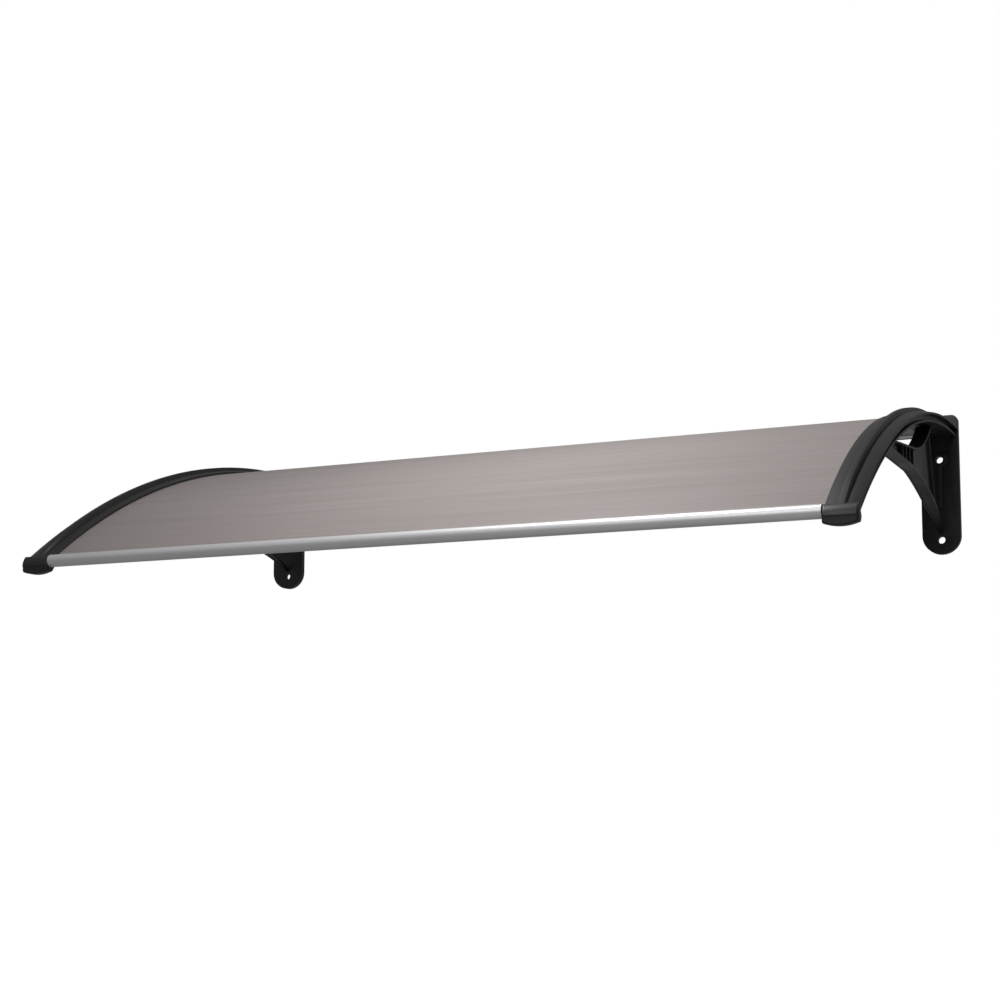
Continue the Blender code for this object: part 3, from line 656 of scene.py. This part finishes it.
def plate_meshes():
    """Wall plate with its two holes, the boss round the upper one and the column under that."""
    half = plate_width / 2
    top = plate_bottom + plate_height
    outline = arc(0, plate_bottom + half, half, 180, 360, 40)
    outline += arc(half - plate_corner, top - plate_corner, plate_corner, 0, 90, 12)
    outline += arc(-half + plate_corner, top - plate_corner, plate_corner, 90, 180, 12)
    low = arc(0, low_hole_z, wall_hole_radius, 0, 360, 32)[:-1]
    high = arc(0, high_hole_z, wall_hole_radius, 0, 360, 32)[:-1]
    plate = rounded("plate", prism("plate", [outline, low, high], -plate_thickness, 0, "Y"), plate_round, 3)
    ring = arc(0, high_hole_z, boss_radius, 0, 360, 48)[:-1]
    boss_face = -plate_thickness - boss_height
    boss = rounded("boss", prism("boss", [ring, high], boss_face, -plate_thickness / 2, "Y"), boss_round, 3)
    rings = []
    foot = plate_bottom + column_rise
    head = high_hole_z - column_head_drop
    for z, share in ((foot - 0.002, 0.3), (foot, 0.85), (foot + 0.003, 1.0), (head, 1.0)):
        turns = arc(0, -plate_thickness, column_radius * share, 0, 360, 24)[:-1]
        rings.append([(x, y, z) for x, y in turns])
    return [plate, boss, loft("column", rings)]


def arm_points():
    """Section of the arm: a flange with rounded edges under an upright rib."""
    rib = rib_width / 2
    height = sheet_top - flange_bottom
    edge = -flange_inset
    return [
        (-1.0, -edge + flange_cut, 0.0), (1.0, edge - flange_cut, 0.0), (1.0, edge, flange_cut),
        (1.0, edge, flange_thickness - flange_cut), (1.0, edge - flange_cut, flange_thickness),
        (0.0, rib, flange_thickness), (0.0, rib, height), (0.0, -rib, height), (0.0, -rib, flange_thickness),
        (-1.0, -edge + flange_cut, flange_thickness), (-1.0, -edge, flange_thickness - flange_cut),
        (-1.0, -edge, flange_cut)]


def brace_line(steps=44):
    """Points of the brace's lower face from its toe at the plate, with the way across it."""
    reach = brace_bend_out - plate_thickness
    height = brace_top_rise - brace_foot_rise
    power = 2 / brace_roundness
    line = []
    for count in range(steps + 1):
        turn = math.radians(brace_start_degrees + (90 - brace_start_degrees) * count / steps)
        cosine = max(0.0, math.cos(turn))
        sine = math.sin(turn)
        out = brace_bend_out - reach * cosine ** power
        rise = brace_foot_rise + height * sine ** power
        across = math.atan2(reach * sine, height * sine ** (power - 1) * cosine ** (2 - power))
        line.append((out, rise, (-math.cos(across), math.sin(across))))
    for count in range(1, brace_front_steps + 1):
        share = count / brace_front_steps
        out = brace_bend_out + (brace_reach_out - brace_bend_out) * share
        slant = -brace_end_lean / brace_thickness if count == brace_front_steps else 0.0
        line.append((out, brace_top_rise - brace_front_drop * share, (slant, 1.0)))
    return line


def brace_half_at(out):
    """Half of the brace's width, which grows from its toe at the plate."""
    share = min(1.0, (out - plate_thickness) / brace_growth_length)
    return brace_toe_half + brace_half_growth * math.sin(share * math.pi / 2)


def brace_at(out):
    """Rise of the brace's lower face over the plate's bottom."""
    if out >= brace_bend_out:
        return brace_top_rise - brace_front_drop * (out - brace_bend_out) / (brace_reach_out - brace_bend_out)
    reach = brace_bend_out - plate_thickness
    height = brace_top_rise - brace_foot_rise
    share = ((brace_bend_out - out) / reach) ** brace_roundness
    return brace_foot_rise + height * (1 - share) ** (1 / brace_roundness)


def ring_at(section, out, rise, across):
    """Ring of a section of (x, height) points that stands across a line of the bracket."""
    ring = []
    for x, height in section:
        ring.append((x, -out - height * across[0], plate_bottom + rise + height * across[1]))
    return ring


def brace_mesh():
    rings = []
    for out, rise, across in brace_line():
        half = brace_half_at(out)
        bead = min(bead_width, half / 2)
        section = [
            (-half + bead_slope, -bead_depth), (-half + bead - bead_slope, -bead_depth), (-half + bead, 0),
            (half - bead, 0), (half - bead + bead_slope, -bead_depth), (half - bead_slope, -bead_depth),
            (half, bead_slope - bead_depth), (half, brace_thickness - edge_cut),
            (half - edge_cut, brace_thickness), (-half + edge_cut, brace_thickness),
            (-half, brace_thickness - edge_cut), (-half, bead_slope - bead_depth)]
        rings.append(ring_at(section, out, rise, across))
    toe = [(x, -plate_thickness / 2, z) for x, y, z in rings[0]]
    return loft("brace", [toe] + rings)


def hammock_line(steps=28):
    """Points of the hammock's lower face from the front, with the way across it."""
    (front_out, front_rise), (bend_out, bend_rise) = hammock_front, hammock_bend
    slope = math.atan2(bend_rise - front_rise, front_out - bend_out)
    radius = (bend_out - hammock_rear_out) / (math.sin(hammock_rear_turn) - math.sin(slope))
    line = [(front_out, front_rise, (-hammock_end_lean / hammock_thickness, 1.0))]
    for count in range(steps + 1):
        turn = slope + (hammock_rear_turn - slope) * count / steps
        out = bend_out - radius * (math.sin(turn) - math.sin(slope))
        rise = bend_rise + radius * (math.cos(slope) - math.cos(turn))
        line.append((out, rise, (math.sin(turn), math.cos(turn))))
    return line


def hammock_at(out):
    """Rise of the hammock's straight front part over the plate's bottom."""
    (front_out, front_rise), (bend_out, bend_rise) = hammock_front, hammock_bend
    return front_rise + (bend_rise - front_rise) * (front_out - out) / (front_out - bend_out)


def hammock_mesh():
    rings = []
    half = hammock_half
    for out, rise, across in hammock_line():
        section = [
            (-half + edge_cut, 0), (half - edge_cut, 0), (half, edge_cut),
            (half, hammock_thickness - edge_cut), (half - edge_cut, hammock_thickness),
            (-half + edge_cut, hammock_thickness), (-half, hammock_thickness - edge_cut), (-half, edge_cut)]
        rings.append(ring_at(section, out, rise, across))
    return loft("hammock", rings)


def strut_ends():
    z = arch_point(flange_bottom, arch_angle(strut_top_out, flange_bottom))[1] + flange_thickness / 2
    foot = plate_bottom + brace_at(strut_foot_out) + brace_thickness / 2
    return (strut_top_out, z), (strut_foot_out, foot)


def strut_mesh():
    (top_out, top), (foot_out, foot) = strut_ends()
    half = strut_half_thickness
    outline = [
        (-top_out - half, top), (-top_out + half, top), (-foot_out + half, foot), (-foot_out - half, foot)]
    return rounded("strut", prism("strut", [outline], -strut_half_width, strut_half_width), edge_cut, 2)


def web_mesh():
    """Thin panel between the hammock, the strut and the brace."""
    outline = [(-out, plate_bottom + rise + hammock_thickness / 2) for out, rise, across in hammock_line()]
    outline.append((-strut_foot_out, strut_ends()[1][1]))
    for out, rise, across in brace_line():
        if strut_foot_out + web_strut_lap < out < hammock_front[0]:
            outline.append((-out, plate_bottom + rise + brace_thickness / 2))
    return prism("web", [outline], -web_half, web_half)


def rib_mesh():
    """Short upright ribs between the brace and the hammock."""
    middles = []
    sizes = []
    for out in comb_rib_outs:
        low = plate_bottom + brace_at(out) + brace_thickness / 2
        high = plate_bottom + hammock_at(out) + hammock_thickness / 2
        middles.append((0, -out, (low + high) / 2))
        sizes.append((comb_rib_width, comb_rib_thickness, high - low))
    seeds = points_mesh("ribs", middles)
    stored = seeds.attributes.new("rib_size", "FLOAT_VECTOR", "POINT")
    stored.data.foreach_set("vector", [value for size in sizes for value in size])
    return rounded("ribs", grow("ribs", ribs, seeds, {"Material": plastic}), comb_rib_round, 1)


for side, word in ((-1, "left"), (1, "right")):
    arm = moulding("arm", arm_points(), flange_bottom, arch_angle(arm_root_out, flange_bottom), front_angle)
    parts = plate_meshes() + [arm, brace_mesh(), hammock_mesh(), strut_mesh(), web_mesh(), rib_mesh()]
    name = "bracket_" + word
    piece("moulded_bracket_" + word, parts, plastic, [name], side * bracket_x, 32)


# Sheet

sheet_edge_gap = 0.0005
sheet_ripple = 0.00002
rail_floor_out = 0.0128
sheet_half = bracket_x - rib_width / 2 - sheet_edge_gap
sheet_rear = arch_angle(rail_floor_out + clearance, arch_radius)
skin = grow("arched_sheet", sheets, points_mesh("seed", [(0, 0, 0)]), {
    "Length": 2 * sheet_half, "Start": sheet_rear, "End": front_angle, "Rows": 961, "Columns": 9,
    "Thickness": sheet_thickness, "Flute pitch": flute_pitch, "Ripple": sheet_ripple,
    "Arch radius": arch_radius, "Crown out": crown_out, "Material": polycarbonate})
shape = bmesh.new()
shape.from_mesh(skin)
open_edges = [edge for edge in shape.edges if edge.is_boundary]
bmesh.ops.bridge_loops(shape, edges=open_edges)
closed_sheet = mesh_from("arched_sheet", shape)
piece("arched_sheet", [closed_sheet], polycarbonate, ["canopy_sheet"], 0, 40)


# Screws

screw_head_radius = 0.0038
screw_shank_radius = 0.0019
# Half outline of a screw as (radius, height) from the recess in its head up to its point
screw_profile = [
    (0, -0.0014), (0.0011, -0.0014), (0.0014, -0.0026), (0.0026, -0.0026), (0.0034, -0.0019),
    (screw_head_radius, -0.0008), (screw_head_radius, 0.0), (screw_shank_radius, 0.0),
    (screw_shank_radius, 0.0150), (0.0011, 0.0170), (0, 0.0186)]
screw_mesh = lathe("screw", screw_profile, 32)
screw_mesh.shade_smooth()
screw_mesh.set_sharp_from_angle(angle=math.radians(40))
master_screw = new_object("screw", screw_mesh)
for side, word in ((-1, "left"), (1, "right")):
    seats = []
    for out in screw_outs:
        y, z = arch_point(flange_bottom - clearance, arch_angle(out, flange_bottom))
        seats.append((side * bracket_x, y, z))
    rows = grow("screws", screws, points_mesh("seats", seats), {
        "Screw": master_screw, "Arch radius": arch_radius, "Crown out": crown_out, "Material": steel})
    nodes = ["strip_screw_" + word + "_" + str(count) for count in range(1, 6)]
    piece("screw_row_" + word, [rows], steel, nodes, 0, 40)
bpy.data.objects.remove(master_screw)


# Front bar and caps

bar_from_cap_face = 0.0029
bar_radius = 0.0088
bar_offset = 0.0030
bar_wall = 0.0016
bar_angle = cap_face_angle + bar_from_cap_face / arch_radius
cap_round = 0.0006


def bar_point(along, across):
    """Point (y, z) at a distance along the sheet and across it from the bar's axis."""
    y, z = arch_point(arch_radius + bar_offset + across, bar_angle)
    return (y - along * math.cos(bar_angle), z - along * math.sin(bar_angle))


def bar_arc(radius, start, end, steps):
    return [bar_point(u, v) for u, v in arc(0, 0, radius, math.degrees(start), math.degrees(end), steps)]


slot_high = -bar_offset + sheet_thickness / 2 + clearance
slot_low = -bar_offset - sheet_thickness / 2 - clearance
slot_floor = -bar_from_cap_face + clearance
slot_start = math.pi - math.asin(slot_high / bar_radius)
slot_end = -math.pi - math.asin(slot_low / bar_radius)
outer = bar_arc(bar_radius, slot_start, slot_end, 96)
outer += [bar_point(slot_floor, slot_low), bar_point(slot_floor, slot_high)]
inner = bar_radius - bar_wall
chamber_start = math.pi - math.asin((slot_high + bar_wall) / inner)
chamber_end = -math.acos((slot_floor + bar_wall) / inner)
chamber = bar_arc(inner, chamber_start, chamber_end, 48)
chamber.append(bar_point(slot_floor + bar_wall, slot_high + bar_wall))
bar_half = bracket_x - strip_front_width / 2 - cap_side_margin - clearance
nose = prism("nose", [outer, chamber], -bar_half, bar_half)
piece("nose_bar", [nose], aluminium, ["front_bar"], 0, 30)


def softened(node, width):
    """The node's own solid with its sharp edges rounded."""
    shape = bmesh.new()
    shape.from_mesh(node.data)
    bmesh.ops.transform(shape, matrix=node.matrix_world, verts=shape.verts)
    bmesh.ops.remove_doubles(shape, verts=shape.verts, dist=1e-6)
    bmesh.ops.dissolve_limit(shape, angle_limit=0.01, verts=shape.verts, edges=shape.edges)
    return rounded(node.name + "_soft", mesh_from(node.name + "_soft", shape), width, 3, 28)


for word in ("left", "right"):
    name = "front_cap_" + word
    cap = softened(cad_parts[name], cap_round)
    piece("soft_cap_" + word, [cap], plastic, [name], 0, 40)

# The hidden pieces keep the solids' meshes and get new materials
for name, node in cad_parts.items():
    if name.startswith(("edge_gasket", "rear_rail", "wall_seal", "cap_screw")):
        look = {"edge": rubber, "rear": aluminium, "wall": rubber, "cap": steel}[name.split("_")[0]]
        for slot in node.material_slots:
            slot.material = look


# Stage, light and camera

floor_half = 30.0
floor_z = -2.1
floor_mesh = bpy.data.meshes.new("floor")
corners = [(x * floor_half, y * floor_half, floor_z) for x, y in ((-1, -1), (1, -1), (1, 1), (-1, 1))]
floor_mesh.from_pydata(corners, [], [(0, 1, 2, 3)])
floor = new_object("floor", floor_mesh)
floor_look, tree, shader = new_material("pale_floor")
shader.inputs["Base Color"].default_value = (0.80, 0.80, 0.80, 1)
shader.inputs["Roughness"].default_value = 0.9
path = add(tree, "ShaderNodeLightPath").outputs
seen = maths(tree, "MAXIMUM", path["Is Camera Ray"], path["Is Transmission Ray"])
shader.inputs["Emission Color"].default_value = (1, 1, 1, 1)
tree.links.new(seen, shader.inputs["Emission Strength"])
floor_mesh.materials.append(floor_look)

# Glow of the studio: a soft sky to the front and above, and a pale wall behind that fades to the front
sky_way = (0.0, -0.8, 0.6)
sky_glow = 0.40
front_way = (0.3, -0.95, 0.0)
back_glow = 0.30
front_glow = 0.05
world = bpy.data.worlds.new("studio")
bpy.context.scene.world = world
world.use_nodes = True
tree = world.node_tree
tree.nodes.clear()
path = add(tree, "ShaderNodeLightPath").outputs
seen = maths(tree, "MAXIMUM", path["Is Camera Ray"], path["Is Transmission Ray"])
way = add(tree, "ShaderNodeTexCoord").outputs["Generated"]
upward = add(tree, "ShaderNodeVectorMath", {0: way, 1: sky_way}, operation="DOT_PRODUCT").outputs["Value"]
sky = maths(tree, "POWER", maths(tree, "MAXIMUM", upward, 0.0), 2.0)
forward = add(tree, "ShaderNodeVectorMath", {0: way, 1: front_way}, operation="DOT_PRODUCT").outputs["Value"]
around = spread(tree, forward, -1.0, 1.0, back_glow, front_glow)
glow = maths(tree, "ADD", maths(tree, "MULTIPLY", sky, sky_glow), around)
soft = add(tree, "ShaderNodeBackground", {"Color": (1, 1, 1, 1), "Strength": glow}).outputs[0]
white = add(tree, "ShaderNodeBackground", {"Color": (1, 1, 1, 1), "Strength": 1.0}).outputs[0]
mixed = add(tree, "ShaderNodeMixShader", {0: seen, 1: soft, 2: white}).outputs[0]
add(tree, "ShaderNodeOutputWorld", {"Surface": mixed})


def softbox(name, place, target, size, power):
    """Area light of the given size and watts that faces a target."""
    lamp = bpy.data.lights.new(name, "AREA")
    lamp.shape = "RECTANGLE"
    lamp.size, lamp.size_y = size
    lamp.energy = power
    thing = new_object(name, lamp)
    thing.location = place
    away = [a - b for a, b in zip(target, place)]
    flat = math.hypot(away[0], away[1])
    thing.rotation_euler = (math.pi / 2 + math.atan2(away[2], flat), 0, math.atan2(-away[0], away[1]))


softbox("key", (0.13, -0.72, 0.50), (0.13, -0.45, -0.08), (0.40, 0.36), 6.8)
softbox("fill", (0.40, -1.45, 0.15), (0.45, -0.40, -0.15), (0.6, 0.4), 2.2)

sensor_width = 36.0
focal_share = 1.71725
frame_shift = 0.1
camera_place = (1.0034, -2.6291, -0.5287)
camera_rise = 0.105902
camera_turn = 0.417468
camera = bpy.data.cameras.new("camera")
camera.sensor_width = sensor_width
camera.lens = sensor_width * focal_share
camera.shift_y = frame_shift
camera.clip_start = 0.05
view = new_object("camera", camera)
view.location = camera_place
view.rotation_euler = (math.pi / 2 + camera_rise, 0, camera_turn)
bpy.context.scene.camera = view
bpy.context.scene.view_settings.view_transform = "Standard"
